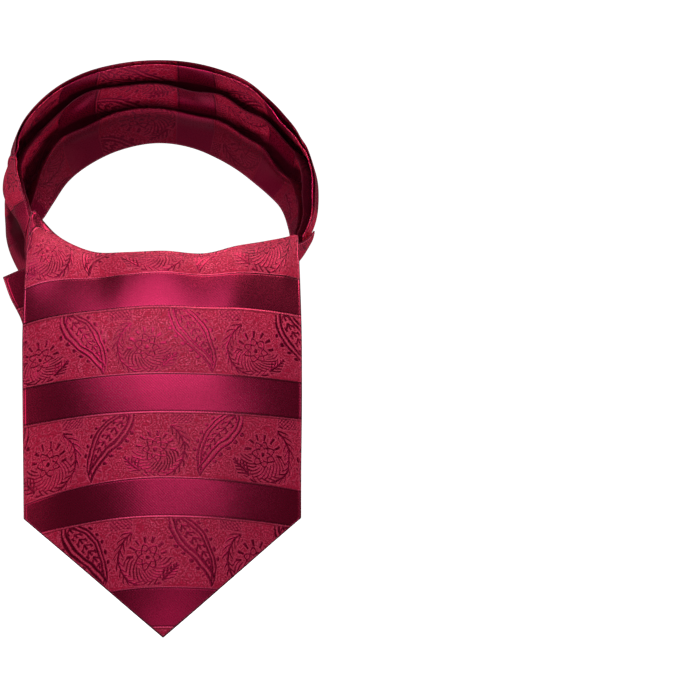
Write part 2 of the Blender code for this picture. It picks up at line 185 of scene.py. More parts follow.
def pleat_section(row):
    """Knife pleats from the top edge to the bottom edge: insets and heights, one row a point.

    Every leaf hangs from a folded edge on the neck side to a fold on the outer side, and turns
    back up inside the next one.  Also gives each point's place in the list, in whole numbers for
    those that are named here and in parts for those put between them.
    """
    top, fold_1, fold_2, bottom = (row(name) for name in ("top", "fold_1", "fold_2", "bottom"))
    hem_in, out_1, neck_1 = row("hem_in"), row("out_1"), row("neck_1")
    out_2, neck_2, base_in = row("out_2"), row("neck_2"), row("base_in")
    tuck = row("tuck")
    out_0 = hem_in - 0.4
    lip = out_0 + PLEAT_LAYER + 0.7 + row("lip")
    low_0 = top - HEM_RISE - tuck
    low_1 = fold_1 - tuck
    low_2 = fold_2 - tuck
    under_0 = out_0 + 2.0 * PLEAT_LAYER
    under_1 = out_1 + 2.0 * PLEAT_LAYER + row("hollow")
    under_2 = out_2 + 2.0 * PLEAT_LAYER
    under_2 = under_2 + 0.3 * np.maximum(base_in - under_2, 0.0)
    points = [
        (hem_in, top),
        (0.5 * (hem_in + out_0), top - 0.5 * (HEM_RISE + tuck)),
        (out_0, low_0),
        (out_0 + PLEAT_LAYER, low_0),
        (lip, top - HEM_RISE),
        (lip + PLEAT_LAYER, top - HEM_RISE),
        (under_0 + 0.4 * (lip - out_0 - PLEAT_LAYER), low_0 + 0.4 * tuck),
        (under_0, low_0 - 1.0),
        (0.5 * (under_0 + out_1), 0.5 * (low_0 + low_1)),
        (out_1, low_1),
        (out_1 + PLEAT_LAYER, low_1),
        (neck_1, fold_1),
        (neck_1 + PLEAT_LAYER, fold_1),
        (0.5 * (neck_1 + PLEAT_LAYER + under_1) + 0.1, 0.5 * (fold_1 + low_1)),
        (under_1, low_1 - 1.0),
        (0.3 * under_1 + 0.7 * out_2, 0.45 * low_1 + 0.55 * low_2),
        (out_2, low_2),
        (out_2 + PLEAT_LAYER, low_2),
        (neck_2, fold_2),
        (neck_2 + PLEAT_LAYER, fold_2),
        (0.5 * (neck_2 + PLEAT_LAYER + under_2) + 0.1, 0.5 * (fold_2 + low_2)),
        (under_2, low_2 - 1.0),
        (base_in, bottom),
    ]
    order = sorted([float(place) for place in range(len(points))]
                   + [after + share for after, share in LEAF_POINTS])
    insets, heights = (np.stack(values) for values in zip(*points))
    at = np.array(order)
    before = np.minimum(at.astype(int), len(points) - 2)
    share = (at - before)[:, None]
    return (insets[before] * (1.0 - share) + insets[before + 1] * share,
            heights[before] * (1.0 - share) + heights[before + 1] * share, at)


def pocket_shade(row, places, heights):
    """How deep in shadow the neck side of the cloth is: 1 in a pocket, 0 on an open leaf.

    It is 1 below the fold of the next pleat and fades out POCKET_REACH above it, on the points
    that run down into that pocket and back up to the fold's crest.  The lowest leaf is BASE_SHADE
    deep in shadow all over.
    """
    total = 0.0 * heights
    pockets = ((-1.0, 3.7, row("top") - 3.2), (5.0, 12.2, row("fold_1")),
               (12.5, 19.2, row("fold_2")))
    for first, last, crest in pockets:
        run = np.clip((places - first) / 0.4, 0.0, 1.0) * np.clip((last - places) / 0.4, 0.0, 1.0)
        depth = np.clip((crest + POCKET_REACH - heights) / POCKET_REACH, 0.0, 1.0)
        total = np.maximum(total, run[:, None] * depth)
    return np.maximum(total, BASE_SHADE * np.clip(places - 19.0, 0.0, 1.0)[:, None])


def hollow_shade(row, places, insets):
    """Shadow on the outer side: 1 where the lower strand's top is drawn in behind the upper one.

    It grows with the hollow's depth, from 2.2 to 4 mm behind the swell of the lower strand.
    """
    run = np.clip((places - 12.8) / 0.4, 0.0, 1.0) * np.clip((16.5 - places) / 0.5, 0.0, 1.0)
    sunk = np.clip((insets - row("out_2") - 2.2) / 1.8, 0.0, 1.0)
    return run[:, None] * sunk * np.clip(row("hollow") / 3.0, 0.0, 1.0)


def rounding(count, samples):
    """Weights that turn a row of points into a smooth curve (a uniform cubic B-spline).

    Each finished point blends its four nearest shaping points, and the end points are repeated
    so that the curve starts and ends on them.
    """
    places = np.linspace(-1.0, count, samples)
    nodes = np.arange(-3, count + 3)
    reach = np.abs(places[:, None] - nodes[None, :])
    near = (4.0 - 6.0 * reach**2 + 3.0 * reach**3) / 6.0
    far = np.clip(2.0 - reach, 0.0, None) ** 3 / 6.0
    weights = np.where(reach < 1.0, near, far)
    folded = np.zeros((samples, count))
    np.add.at(folded, (slice(None), np.clip(nodes, 0, count - 1)), weights)
    return folded


def run_length(points, axis):
    """Distance walked along one direction of a grid of points, from its first row."""
    steps = np.linalg.norm(np.diff(points, axis=axis), axis=-1)
    start = np.zeros_like(np.take(steps, [0], axis=axis))
    return np.concatenate((start, np.cumsum(steps, axis=axis)), axis=axis)


def outward(points):
    """Unit normals of a grid of points, from its two directions."""
    normals = np.cross(np.gradient(points, axis=1), np.gradient(points, axis=0))
    return normals / np.linalg.norm(normals, axis=-1, keepdims=True)


def weave_cloth(name, points, weave, edge, thickness, rim, shade=0.0):
    """Cloth on a grid of points: two layers of quads half a thickness off it, closed at the rim.

    weave is where each point lies on the flat cloth (across, along) in millimetres, edge its
    distance from the nearest hemmed edge, and shade how deep in shadow each layer is.
    """
    rows, columns = points.shape[:2]
    front = np.arange(rows * columns).reshape(rows, columns)
    back = front + rows * columns
    border = np.concatenate((front[0, :-1], front[:-1, -1], front[-1, :0:-1], front[:0:-1, 0]))
    ahead = np.roll(border, -1)
    quads = np.concatenate([
        np.stack((front[:-1, :-1], front[:-1, 1:], front[1:, 1:], front[1:, :-1]), -1).reshape(-1, 4),
        np.stack((back[1:, :-1], back[1:, 1:], back[:-1, 1:], back[:-1, :-1]), -1).reshape(-1, 4),
        np.stack((ahead, border, border + rows * columns, ahead + rows * columns), -1)])
    corners = quads.reshape(-1)
    offset = outward(points) * thickness * 0.5
    layers = np.stack((points + offset, points - offset))
    shades = np.zeros((2, rows, columns)) + shade
    mesh = bpy.data.meshes.new(name)
    mesh.vertices.add(2 * rows * columns)
    mesh.vertices.foreach_set("co", (layers * MM).reshape(-1))
    mesh.loops.add(len(corners))
    mesh.loops.foreach_set("vertex_index", corners)
    mesh.polygons.add(len(quads))
    mesh.polygons.foreach_set("loop_start", np.arange(0, len(corners), 4))
    mesh.update(calc_edges=True)
    flat = mesh.uv_layers.new(name="weave")
    flat.data.foreach_set(
        "uv", weave.reshape(-1, 2)[corners % (rows * columns)].astype(np.float32).reshape(-1))
    for label, values in (("edge", np.stack((edge, edge))), ("shade", shades)):
        made = mesh.attributes.new(label, "FLOAT", "POINT")
        made.data.foreach_set("value", values.astype(np.float32).reshape(-1))
    mesh.shade_smooth()
    piece = bpy.data.objects.new(name, mesh)
    bpy.context.scene.collection.objects.link(piece)
    rounded = piece.modifiers.new("rim", "BEVEL")
    rounded.width = rim * MM
    rounded.segments = 2
    rounded.limit_method = "ANGLE"
    rounded.angle_limit = np.radians(50.0)
    rounded.harden_normals = False
    return piece


# The silk is woven in stripes across the strip: a plain satin, then a damask with paisleys.
# The figure is satin too, so it flashes and darkens with the stripes, while the ground between
# is matt.  Lengths are millimetres on the flat cloth.
STRIPE_REPEAT = 56.0
SATIN_WIDTH = 21.0
FIGURE_REPEAT = 57.0
FIGURE_START = 2.9         # where the paisleys of the even stripes start, across the cloth
FIGURE_TURN = 11.75        # further start of the odd stripes, which are mirrored
PAISLEY_LEAN = (0.463, 0.886)
PAISLEY_LEFT = ((-4.0, -2.0), (-1.2, -5.0), (3.6, -6.5), (8.6, -6.4), (15.4, -4.8),
                (23.9, -1.7), (32.0, 0.1), (38.0, 0.2))
PAISLEY_RIGHT = ((-4.0, -2.0), (-1.2, 1.5), (3.6, 4.6), (11.1, 7.9), (16.5, 8.7),
                 (22.2, 8.1), (28.4, 6.9), (34.1, 4.2), (38.0, 0.4))
FLOWER = (46.0, 20.0)
SPRIG_ROOT = (53.7, 31.8)
HATCH = (32.5, 2.9, 5.5, 2.5)
GROUND_FLASH = 0.38        # how far the matt ground mirrors the light
SATIN_COLOUR = (0.36, 0.006, 0.041, 1.0)
GROUND_COLOUR = (0.40, 0.007, 0.033, 1.0)
# LINE_COLOUR is the colour of the light lines: the stripes' borders and the filler, and the painted
# highlights along the hems and round the figure.
LINE_COLOUR = (0.72, 0.075, 0.14, 1.0)
# DEEP_COLOUR is the colour of the shadow lines by the stripes' borders and of the painted shade in
# pockets, hollows and along cut edges.
DEEP_COLOUR = (0.035, 0.001, 0.004, 1.0)


class Thread:
    """A number that varies over the silk: arithmetic on it adds Math nodes to the weave.

    A mark is such a number too: how far outside the mark a place is, in millimetres, and negative
    inside it.  Then | joins two marks, and & keeps what both of them cover.
    """

    def __init__(self, loom, socket):
        self.loom = loom
        self.socket = socket

    def with_(self, operation, *others, clamp=False):
        settings = {"operation": operation, "use_clamp": clamp}
        return self.loom.node("ShaderNodeMath", settings, (self,) + others)

    def turned(self, operation, other):
        return self.loom.node("ShaderNodeMath", {"operation": operation}, (other, self))

    def __add__(self, other):
        return self.with_("ADD", other)

    def __sub__(self, other):
        return self.with_("SUBTRACT", other)

    def __mul__(self, other):
        return self.with_("MULTIPLY", other)

    def __truediv__(self, other):
        return self.with_("DIVIDE", other)

    def __radd__(self, other):
        return self.turned("ADD", other)

    def __rsub__(self, other):
        return self.turned("SUBTRACT", other)

    def __rmul__(self, other):
        return self.turned("MULTIPLY", other)

    def __neg__(self):
        return self.with_("MULTIPLY", -1.0)

    def __abs__(self):
        return self.with_("ABSOLUTE")

    def __mod__(self, other):
        return self.with_("FLOORED_MODULO", other)

    def __or__(self, other):
        return self.with_("MINIMUM", other)

    def __and__(self, other):
        return self.with_("MAXIMUM", other)

    def above(self, level, soft):
        """1 where the number is over a level, 0 where it is under, with a soft step between."""
        return self.with_("MULTIPLY_ADD", 0.5 / soft, 0.5 - level * 0.5 / soft, clamp=True)

    def below(self, level, soft):
        """1 where the number is under a level."""
        return self.with_("MULTIPLY_ADD", -0.5 / soft, 0.5 + level * 0.5 / soft, clamp=True)

    def over(self, level):
        """A mark that covers everything above a level."""
        return level - self

    def drawn(self, half):
        """A mark of the given half width along the line where the number passes 0."""
        return abs(self) - half

    def inked(self, soft=0.2):
        """1 on a mark and 0 off it."""
        return self.below(0.0, soft)

    def repeated(self, period):
        """Distance from the middle of the nearest repeat, negative before it."""
        return self % period - 0.5 * period


class Loom:
    """The nodes of one silk.  node() adds any node, its settings first and then its inputs."""

    def __init__(self, name):
        self.material = bpy.data.materials.new(name)
        self.material.use_nodes = True
        self.tree = self.material.node_tree
        self.surface = self.tree.nodes["Principled BSDF"]

    def node(self, kind, settings=None, values=(), outlet=0):
        made = self.tree.nodes.new(kind)
        for key, setting in (settings or {}).items():
            if key == "curve":
                self.bend(made, setting)
            else:
                setattr(made, key, setting)
        places = values.items() if isinstance(values, dict) else enumerate(values)
        for place, value in places:
            self.feed(made.inputs[place], value)
        return Thread(self, made.outputs[outlet])

    def bend(self, made, points):
        line = made.mapping.curves[0]
        made.mapping.use_clip = False
        for place, value in points[1:-1]:
            line.points.new(place, value)
        for point, (place, value) in zip(line.points, sorted(points)):
            point.location = (place, value)
        made.mapping.update()

    def feed(self, socket, value):
        if isinstance(value, Thread):
            self.tree.links.new(value.socket, socket)
        else:
            socket.default_value = value

    def blend(self, share, first, second):
        """Mix of two colours."""
        return self.node("ShaderNodeMix", {"data_type": "RGBA"},
                         {0: share, 6: first, 7: second}, outlet=2)


def curve_shares(table, low, high, bottom, top):
    """Points of a curve as shares of its range, which is what a Float Curve takes."""
    return [((place - low) / (high - low), (value - bottom) / (top - bottom))
            for place, value in table]


def paisley_silk(name, flash, gloss, tone, border_light, hem_highlight_strength):
    """Striped silk.  Everything on it is worked out from its place on the flat cloth.

    flash is how far its satin mirrors the light: its long floats lie across the strip, so they
    flash on the blades, which hang, and hardly round the neck.  gloss is the share of plain white
    gleam, which is strongest on the satin, and tone scales how light its colour is: above 1 it is
    a painted brightening of this copy of the silk.  The last two say how much the light lines
    along the stripes' borders stand out, and how strong the painted highlight along the hems is.
    """
    loom = Loom(name)
    flat = loom.node("ShaderNodeUVMap", {"uv_map": "weave"})
    apart = loom.node("ShaderNodeSeparateXYZ", {}, (flat,))
    across = apart
    length = Thread(loom, apart.socket.node.outputs[1])
    edge = loom.node("ShaderNodeAttribute", {"attribute_name": "edge"}, (), outlet=2)

    # Hand-drawn lines are never quite true: all of the figure wanders a little.
    wander = loom.node("ShaderNodeTexNoise", {"noise_dimensions": "2D"},
                       {"Vector": flat, "Scale": 0.12, "Detail": 1.0}, outlet=1)
    parts = loom.node("ShaderNodeSeparateXYZ", {}, (wander,))
    sway_x = (parts - 0.5) * 1.8
    sway_y = (Thread(loom, parts.socket.node.outputs[1]) - 0.5) * 1.8
    grain = loom.node("ShaderNodeTexNoise", {"noise_dimensions": "2D"},
                      {"Vector": flat, "Scale": 1.1, "Detail": 2.0, "Roughness": 0.6})

    # Stripes.
    stripe = (length / STRIPE_REPEAT).with_("FLOOR")
    down = length - stripe * STRIPE_REPEAT
    odd = stripe % 2.0
    satin = down.below(SATIN_WIDTH, 0.12)
    border = ((down - SATIN_WIDTH).drawn(0.22) | (down - 0.2).drawn(0.22)).inked()
    shadow = ((down - SATIN_WIDTH + 0.75).drawn(0.3) | (down - 0.9).drawn(0.3)
              | (down - SATIN_WIDTH - 0.7).drawn(0.2)).inked()

    # Place inside one repeat of the figure, mirrored on every second stripe.
    y = down - SATIN_WIDTH + sway_y
    mirrored = across * (1.0 - 2.0 * odd)
    x = (mirrored - FIGURE_START - odd * FIGURE_TURN + sway_x) % FIGURE_REPEAT

    # Paisley: two drawn edges along a leaning axis, each a double line, with sprigs between them
    # and dots outside.
    lean_x, lean_y = PAISLEY_LEAN
    axis = (x - 5.0) * lean_x + y * lean_y
    side = (x - 5.0) * lean_y - y * lean_x
    share = (axis + 4.0) / 42.0
    left_edge = loom.node("ShaderNodeFloatCurve",
                          {"curve": curve_shares(PAISLEY_LEFT, -4.0, 38.0, -10.0, 10.0)},
                          {1: share}) * 20.0 - 10.0
    right_edge = loom.node("ShaderNodeFloatCurve",
                           {"curve": curve_shares(PAISLEY_RIGHT, -4.0, 38.0, -10.0, 10.0)},
                           {1: share}) * 20.0 - 10.0
    from_left = side - left_edge
    from_right = right_edge - side
    outline = ((abs(from_left - 1.5) - 1.35).drawn(0.58)
               | (abs(from_right - 1.0) - 0.95).drawn(0.4)) \
        & from_left.over(-0.5) & from_right.over(-0.5)
    rib = side - (left_edge + right_edge) * 0.5 - 0.7
    unit = axis.repeated(4.1)
    sprigs = (rib.drawn(0.34) & unit.drawn(1.4)) \
        | ((unit - abs(rib) * 0.9 + 1.5).drawn(0.4) & rib.drawn(2.4)) \
        | ((abs(rib) - 2.3).drawn(0.38) & (unit - 0.6).drawn(0.9))
    sprigs = sprigs & from_left.over(3.7) & from_right.over(2.5)
    dot_step = axis.repeated(5.0)
    dot_left = from_left + 1.9
    dot_right = from_right + 1.8
    dots = ((dot_step * dot_step + dot_left * dot_left).with_("SQRT") - 0.95) \
        | (((dot_step * dot_step) * 0.6 + dot_right * dot_right).with_("SQRT") - 0.7)
    paisley = outline | sprigs | (dots & (axis - 17.0).drawn(15.0))

    # Flower between the paisleys, with feathery curls below it and a leafy branch round its side.
    off_x = (x - FLOWER[0] + 0.5 * FIGURE_REPEAT) % FIGURE_REPEAT - 0.5 * FIGURE_REPEAT
    off_y = y - FLOWER[1]
    round_ = (off_x * off_x + off_y * off_y).with_("SQRT")
    turn = off_y.with_("ARCTAN2", off_x)
    petals = (turn * 7.0).with_("COSINE")
    flower = (round_ - 5.6 - petals * 1.0).drawn(0.32) | (round_ - 3.6 + petals * 0.6).drawn(0.3) \
        | (round_ - 1.0)
    rays = ((turn * 2.07).repeated(1.0) * 4.4).drawn(0.5) & (round_ - 8.9).drawn(1.5) \
        & (-off_y).over(-1.0)
    curl = ((turn * 5.3 + (round_ - 9.5) * 0.55).repeated(1.25) * 1.9).drawn(0.32) \
        & (round_ - 9.9).drawn(2.8) & off_y.over(0.5)
    stem = (round_ - 15.0).drawn(0.34)
    leaf_off = abs(round_ - 15.0)
    leaves = (turn * 15.0 + leaf_off * 1.6).repeated(3.7).drawn(0.5) \
        & (leaf_off - 2.1 + abs(turn + 0.8) * 0.5).drawn(1.8)
    branch = (stem | leaves) & (off_y * 0.5 - off_x * 0.86).over(0.5)
    flowers = flower | rays | curl | branch

    # Crossed dashes above, and a small leafy sprig below.
    hatch_x = x - HATCH[0]
    hatch_y = y - HATCH[1]
    hatch = (((hatch_x - hatch_y * 0.9).repeated(1.9).drawn(0.2)
              & hatch_y.repeated(1.75).drawn(0.5))
             | (hatch_x + hatch_y * 1.6).repeated(2.9).drawn(0.05)) \
        & hatch_x.drawn(HATCH[2]) & hatch_y.drawn(HATCH[3])
    root_x = (x - SPRIG_ROOT[0] + 10.0) % FIGURE_REPEAT - 10.0
    root_y = y - SPRIG_ROOT[1]
    sprig_along = root_x * 0.703 - root_y * 0.711
    sprig_off = root_x * 0.711 + root_y * 0.703
    sprig_reach = abs(sprig_off) + abs(sprig_along - 5.0) * 0.4
    barbs = (sprig_along - abs(sprig_off) * 1.1).repeated(2.5).drawn(0.5) \
        & sprig_reach.over(1.0) & (sprig_reach - 3.6)
    sprig = (sprig_off.drawn(0.42) | barbs) & (sprig_along - 6.2).drawn(5.8)

    marks = (paisley | flowers | hatch | sprig) & (y - 17.4).drawn(16.8)
    damask = 1.0 - satin
    figure = (marks - 0.15).inked() * damask
    # A light line just outside the figure's marks: a painted highlight on the raised figure's edge.
    figure_edge_highlight = (marks - 0.55).drawn(0.2).inked() * damask
    speck = grain.above(0.585, 0.03) * damask

    # Fine swirling lines fill what the figure leaves free.
    swirl = loom.node("ShaderNodeTexNoise", {"noise_dimensions": "2D"},
                      {"Vector": flat, "Scale": 0.12, "Detail": 1.0})
    filler = ((swirl * 10.0).repeated(1.0).drawn(0.22) * 1.5 & grain.over(0.45) * 8.0
              & marks.over(0.9) & (y - 17.4).drawn(16.6)).inked() * damask
    glossy = (satin + figure + speck * 0.15 + filler * 0.3).with_("MINIMUM", 1.0)

    # Painted shade in pockets and hollows, from the shade attribute, and the slight unevenness of the
    # dye.
    cloud = loom.node("ShaderNodeTexNoise", {"noise_dimensions": "2D"},
                      {"Vector": flat, "Scale": 0.035, "Detail": 3.0})
    shade = loom.node("ShaderNodeAttribute", {"attribute_name": "shade"}, (), outlet=2)

    colour = loom.blend(glossy, GROUND_COLOUR, SATIN_COLOUR)
    # Light lines, blended toward LINE_COLOUR: the stripes' borders, the swirling filler, and painted
    # highlights along the hems and just outside the figure.
    hem_highlight = (edge - 0.7).drawn(0.3).inked(0.15)
    light = (border * border_light).with_("MAXIMUM", hem_highlight * hem_highlight_strength) \
        .with_("MAXIMUM", figure_edge_highlight * 0.40 + filler * 0.38)
    colour = loom.blend(light, colour, LINE_COLOUR)
    # rim is painted shade along the cut edges, where the cloth turns away from the light; the shade
    # attribute is painted shade in the pleats' pockets, on the lowest leaf and in the hollow behind
    # the upper strand.  Both darken the colour toward DEEP_COLOUR and take away the gleam.
    rim = edge.below(0.3, 0.25)
    dark = (shadow * 0.65).with_("MAXIMUM", rim * 0.85)
    dark = dark.with_("MAXIMUM", shade * 0.95)
    colour = loom.blend(dark, colour, DEEP_COLOUR)
    # tone scales the value of the colour: above 1 it paints this copy of the silk lighter.
    tone = loom.node("ShaderNodeHueSaturation", {},
                     {"Value": (cloud * 0.25 + 0.10 + grain * 1.8 * damask + satin * 0.77)
                      * (tone - figure * tone * 0.32),
                      "Color": colour})
    loom.feed(loom.surface.inputs["Base Color"], tone)
    loom.feed(loom.surface.inputs["Metallic"], (glossy * (flash - GROUND_FLASH) + GROUND_FLASH)
              * (1.0 - shade.with_("MAXIMUM", rim)))
    loom.feed(loom.surface.inputs["Roughness"], 0.60 - glossy * 0.32 + (grain - 0.5) * 0.12)

    # Relief: the satin's fine diagonal, the ribs of the ground, the raised figure and the hem.
    twill = ((across - length) * (6.2832 / 1.5)).with_("SINE") * satin
    rib_lines = (length * (6.2832 / 0.9)).with_("SINE") * (1.0 - glossy)
    raised = marks.below(0.05, 0.35) * damask
    hem_groove = (edge - 1.3).drawn(0.25).inked(0.3)
    relief = twill * 0.025 + rib_lines * 0.05 + raised * 0.34 + filler * 0.16 + border * 0.25 \
        - shadow * 0.2 + grain * (0.05 + damask * 0.12) + cloud * 0.5 - hem_groove * 0.35
    bump = loom.node("ShaderNodeBump", {}, {"Height": relief, "Strength": 0.8,
                                            "Distance": 0.5 * MM})
    loom.feed(loom.surface.inputs["Normal"], bump)
    loom.surface.inputs["Specular IOR Level"].default_value = gloss
    loom.feed(loom.surface.inputs["Coat Weight"], (satin * 0.7 + 0.5) * gloss)
    loom.surface.inputs["Coat Roughness"].default_value = 0.33
    return loom.material


# The neckband's copy of the silk is painted lighter than the blades' copy (tone 1.4 against 1.0), a
# painted brightening of the same silk, and its painted hem highlight is stronger.
band_silk = paisley_silk("neckband_silk", 0.68, 0.02, 1.4, 0.24, 1.0)

shape = reader(PLEAT_ROWS, PLEAT_COLUMNS, np.linspace(BAND_START, BAND_END, BAND_STEPS))
band_insets, band_heights, band_places = pleat_section(shape)
band_weights = rounding(len(band_insets), int(len(band_insets) * BAND_ROUNDING))
band_insets = band_weights @ band_insets
band_heights = band_weights @ band_heights
band_places = band_weights @ band_places
neck_shade = pocket_shade(shape, band_places, band_heights)
outer_shade = hollow_shade(shape, band_places, band_insets)
band_angles = np.linspace(BAND_START, BAND_END, BAND_STEPS)[None, :] + 0.0 * band_insets
band_insets = band_insets + creases(BAND_CREASES, band_angles, band_heights)
band_points = loop_point(band_angles, band_insets, band_heights)
band_lag = BAND_WEAVE_SHIFT * (20.0 - band_heights) * np.clip(
    (band_angles - BAND_SHIFT_FROM) / (BAND_SHIFT_FULL - BAND_SHIFT_FROM), 0.0, 1.0)
weave_angles, weave_lengths = np.array(BAND_WEAVE).T
band_along = np.interp(band_angles + band_lag, weave_angles, weave_lengths)
band_across = run_length(band_points, 0)
band_edge = np.minimum(band_across, band_across[-1:] - band_across)
pleated_band = weave_cloth("pleated_band", band_points,
                           np.stack((band_across - STRIP_HALF, band_along), axis=-1),
                           band_edge, PLEAT_CLOTH, PLEAT_RIM,
                           np.stack((neck_shade, outer_shade)))
pleated_band.data.materials.append(band_silk)
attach(pleated_band, "root")
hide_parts("neckband_pleats", "left_pleats")

# ---------------------------------------------------------------------------------------------
# Front wrap.  The strip's long end, crossing the front of the neck under the fold: a band with
# its edges turned under, drawn together below, where the blades hang down over it.
# ---------------------------------------------------------------------------------------------
WRAP_START = -149.0
WRAP_END = -21.0
WRAP_STEPS = (56, 190)
WRAP_COLUMNS = ("angle", "top", "bottom", "inset", "pucker", "gather")
WRAP_ROWS = (
    (-149.0, 30.0, -34.0, 1.2, 0.2, 2.0),
    (-138.0, 25.5, -33.0, 1.5, 0.4, 3.0),
    (-126.0, 24.0, -32.0, 2.0, 0.8, 3.5),
    (-116.0, 26.5, -32.0, 2.2, 0.9, 3.5),
    (-104.0, 31.0, -32.0, 2.2, 1.0, 3.5),
    (-90.0, 34.0, -31.0, 2.2, 1.0, 3.5),
    (-72.0, 29.5, -31.0, 2.2, 1.0, 4.0),
    (-60.0, 28.5, -31.0, 2.0, 0.9, 5.0),
    (-46.0, 21.5, -31.0, 0.6, 0.8, 8.0),
    (-33.0, 13.0, -30.0, -1.6, 0.5, 12.0),
    (-27.0, 9.5, -29.0, -1.9, 0.3, 12.5),
    (-21.0, 7.0, -28.0, -1.7, 0.0, 12.5),
)
WRAP_PUCKERS = 3.0
WRAP_CREASES = (
    (-140.0, 10.0, 0.8, 6.0, 6.0, 0.5),
    (-128.0, -12.0, -0.7, 8.0, 5.0, -0.6),
    (-112.0, 6.0, 0.9, 9.0, 4.5, 0.7),
    (-96.0, -18.0, -0.8, 8.0, 5.0, 0.4),
    (-84.0, 14.0, 0.9, 7.0, 6.0, -0.7),
    (-66.0, -6.0, -0.8, 9.0, 4.5, 0.5),
    (-50.0, 8.0, 0.7, 6.0, 5.0, 0.6),
    (-38.0, -16.0, -0.6, 6.0, 5.0, -0.4),
)
WRAP_CLOTH = 0.8           # two layers pressed together, and the rounding of their edge
WRAP_RIM = 0.3
WRAP_WEAVE_START = -110.0  # length along the strip where the wrap starts, and run for a degree
WRAP_WEAVE_RUN = -1.5


def front_wrap(across, angle):
    """Band across the front: a curved wall, drawn in below, with soft puckers running along."""
    row = reader(WRAP_ROWS, WRAP_COLUMNS, angle)
    height = row("bottom") + (row("top") - row("bottom")) * across
    low = 1.0 - across
    pucker = row("pucker") * np.sin(2.0 * np.pi * WRAP_PUCKERS * across + 0.4) * low
    inset = row("inset") + pucker + row("gather") * low**1.6
    return loop_point(angle, inset + creases(WRAP_CREASES, angle, height), height)


wrap_across, wrap_angles = np.meshgrid(np.linspace(1.0, 0.0, WRAP_STEPS[0]),
                                       np.linspace(WRAP_START, WRAP_END, WRAP_STEPS[1]),
                                       indexing="ij")
wrap_points = front_wrap(wrap_across, wrap_angles)
wrap_down = run_length(wrap_points, 0)
wrap_edge = np.minimum(wrap_down, wrap_down[-1:] - wrap_down)
wrap = weave_cloth("front_wrap_cloth", wrap_points,
                   np.stack((wrap_down, (wrap_angles - WRAP_START) * WRAP_WEAVE_RUN
                             + WRAP_WEAVE_START), axis=-1),
                   wrap_edge, WRAP_CLOTH, WRAP_RIM)
wrap.data.materials.append(band_silk)
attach(wrap, "root")
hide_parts("front_wrap")

# ---------------------------------------------------------------------------------------------
# Front blade.  The wide end of the strip, two layers of silk with their edges turned in and
# pressed.  It comes up inside the loop, turns over the wrap and falls free to its point.
# ---------------------------------------------------------------------------------------------
FOLD_COLUMNS = ("across", "angle", "height", "roll")
FOLD_ROWS = (
    (-1.00, -147.3, 34.4, 3.0),
    (-0.94, -144.5, 32.8, 4.5),
    (-0.87, -141.0, 31.0, 6.0),
    (-0.78, -136.0, 29.5, 6.5),
    (-0.60, -125.0, 29.4, 6.5),
    (-0.45, -116.0, 30.9, 5.5),
    (-0.25, -104.0, 35.9, 5.0),
    (0.00, -90.0, 38.8, 5.0),
    (0.34, -72.0, 34.2, 5.0),
    (0.54, -60.0, 33.2, 5.0),
    (0.76, -46.0, 26.2, 5.5),
    (1.00, -31.5, 15.6, 5.5),
)
FOLD_SPREAD = 2.0
RISE_SHARE = 0.22
RISE_FOOT = -4.0
RISE_LEAN = 0.10
FOLD_THROW = 15.0
FOLD_HEADING = (0.0, -0.98, 0.2)
FOLD_FALL = 62.0
BLADE_COLUMNS = ("down", "out", "drop", "half", "sag_left", "sag_right", "shift")
BLADE_ROWS = (
    (56.0, 124.0, -52.0, 73.6, 15.0, 13.5, 0.5),
    (85.0, 136.5, -78.2, 73.3, 16.0, 14.5, 0.6),
    (120.0, 149.5, -110.7, 72.8, 18.0, 16.0, 0.6),
    (155.0, 160.3, -144.0, 72.6, 20.5, 17.5, 0.7),
    (190.0, 169.0, -177.9, 72.0, 22.0, 19.0, 0.8),
    (215.0, 174.0, -202.4, 71.6, 22.5, 19.5, 0.8),
)
BLADE_CORNER = 146.5
BLADE_TIP = 208.2
BLADE_CROWN = 2.2
BLADE_STEPS = (285, 165)
BLADE_WIDTH_HALF = 73.2
BLADE_WIDTH_BOW = 0.032

# The woven stripes arch across the blade.  Each edge of a stripe: length along the flat cloth,
# how far below the crest it crosses the middle, how much lower it ends at the left and at the
# right edge, and the power of its bow.
BLADE_WEAVE = (
    (-91.0, -72.0, 0.0, 0.0, 2.0),
    (-56.0, -43.0, 14.0, 0.0, 3.0),
    (-35.0, -22.0, 42.0, 3.0, 3.0),
    (0.0, 20.4, 14.4, 7.8, 2.0),
    (21.0, 38.1, 8.0, 4.2, 2.0),
    (56.0, 69.8, 5.6, 2.6, 2.0),
    (77.0, 90.7, 6.1, 2.6, 2.0),
    (112.0, 124.3, 14.4, 7.2, 2.0),
    (133.0, 144.9, 12.3, 7.1, 2.0),
    (168.0, 181.2, 18.0, 9.0, 2.0),
    (203.0, 217.0, 18.0, 9.0, 2.0),
)

# Soft swells and dents of the blade: middle across and down, height, half sizes and slant.
BLADE_CREASES = (
    (-62.0, 10.0, 0.4, 7.0, 14.0, 0.3),
    (-46.0, 10.0, -0.2, 7.0, 12.0, 0.4),
    (27.0, 3.0, -0.6, 5.0, 5.0, 0.5),
    (39.0, 5.0, 0.3, 7.0, 7.0, 0.5),
    (66.0, 22.0, -0.9, 5.0, 7.0, 0.2),
    (-30.0, 60.0, 0.5, 22.0, 34.0, 0.1),
    (34.0, 76.0, -0.5, 20.0, 40.0, -0.1),
    (-8.0, 118.0, 0.5, 24.0, 30.0, 0.1),
    (48.0, 132.0, 0.6, 16.0, 26.0, 0.2),
    (-52.0, 122.0, -0.6, 14.0, 30.0, -0.1),
    (4.0, 176.0, -0.5, 16.0, 22.0, 0.0),
)
BLADE_SWELL_START = 6.0    # the swells grow from nothing over this length below the crest
BLADE_CLOTH = 0.9
BLADE_RIM = 0.3
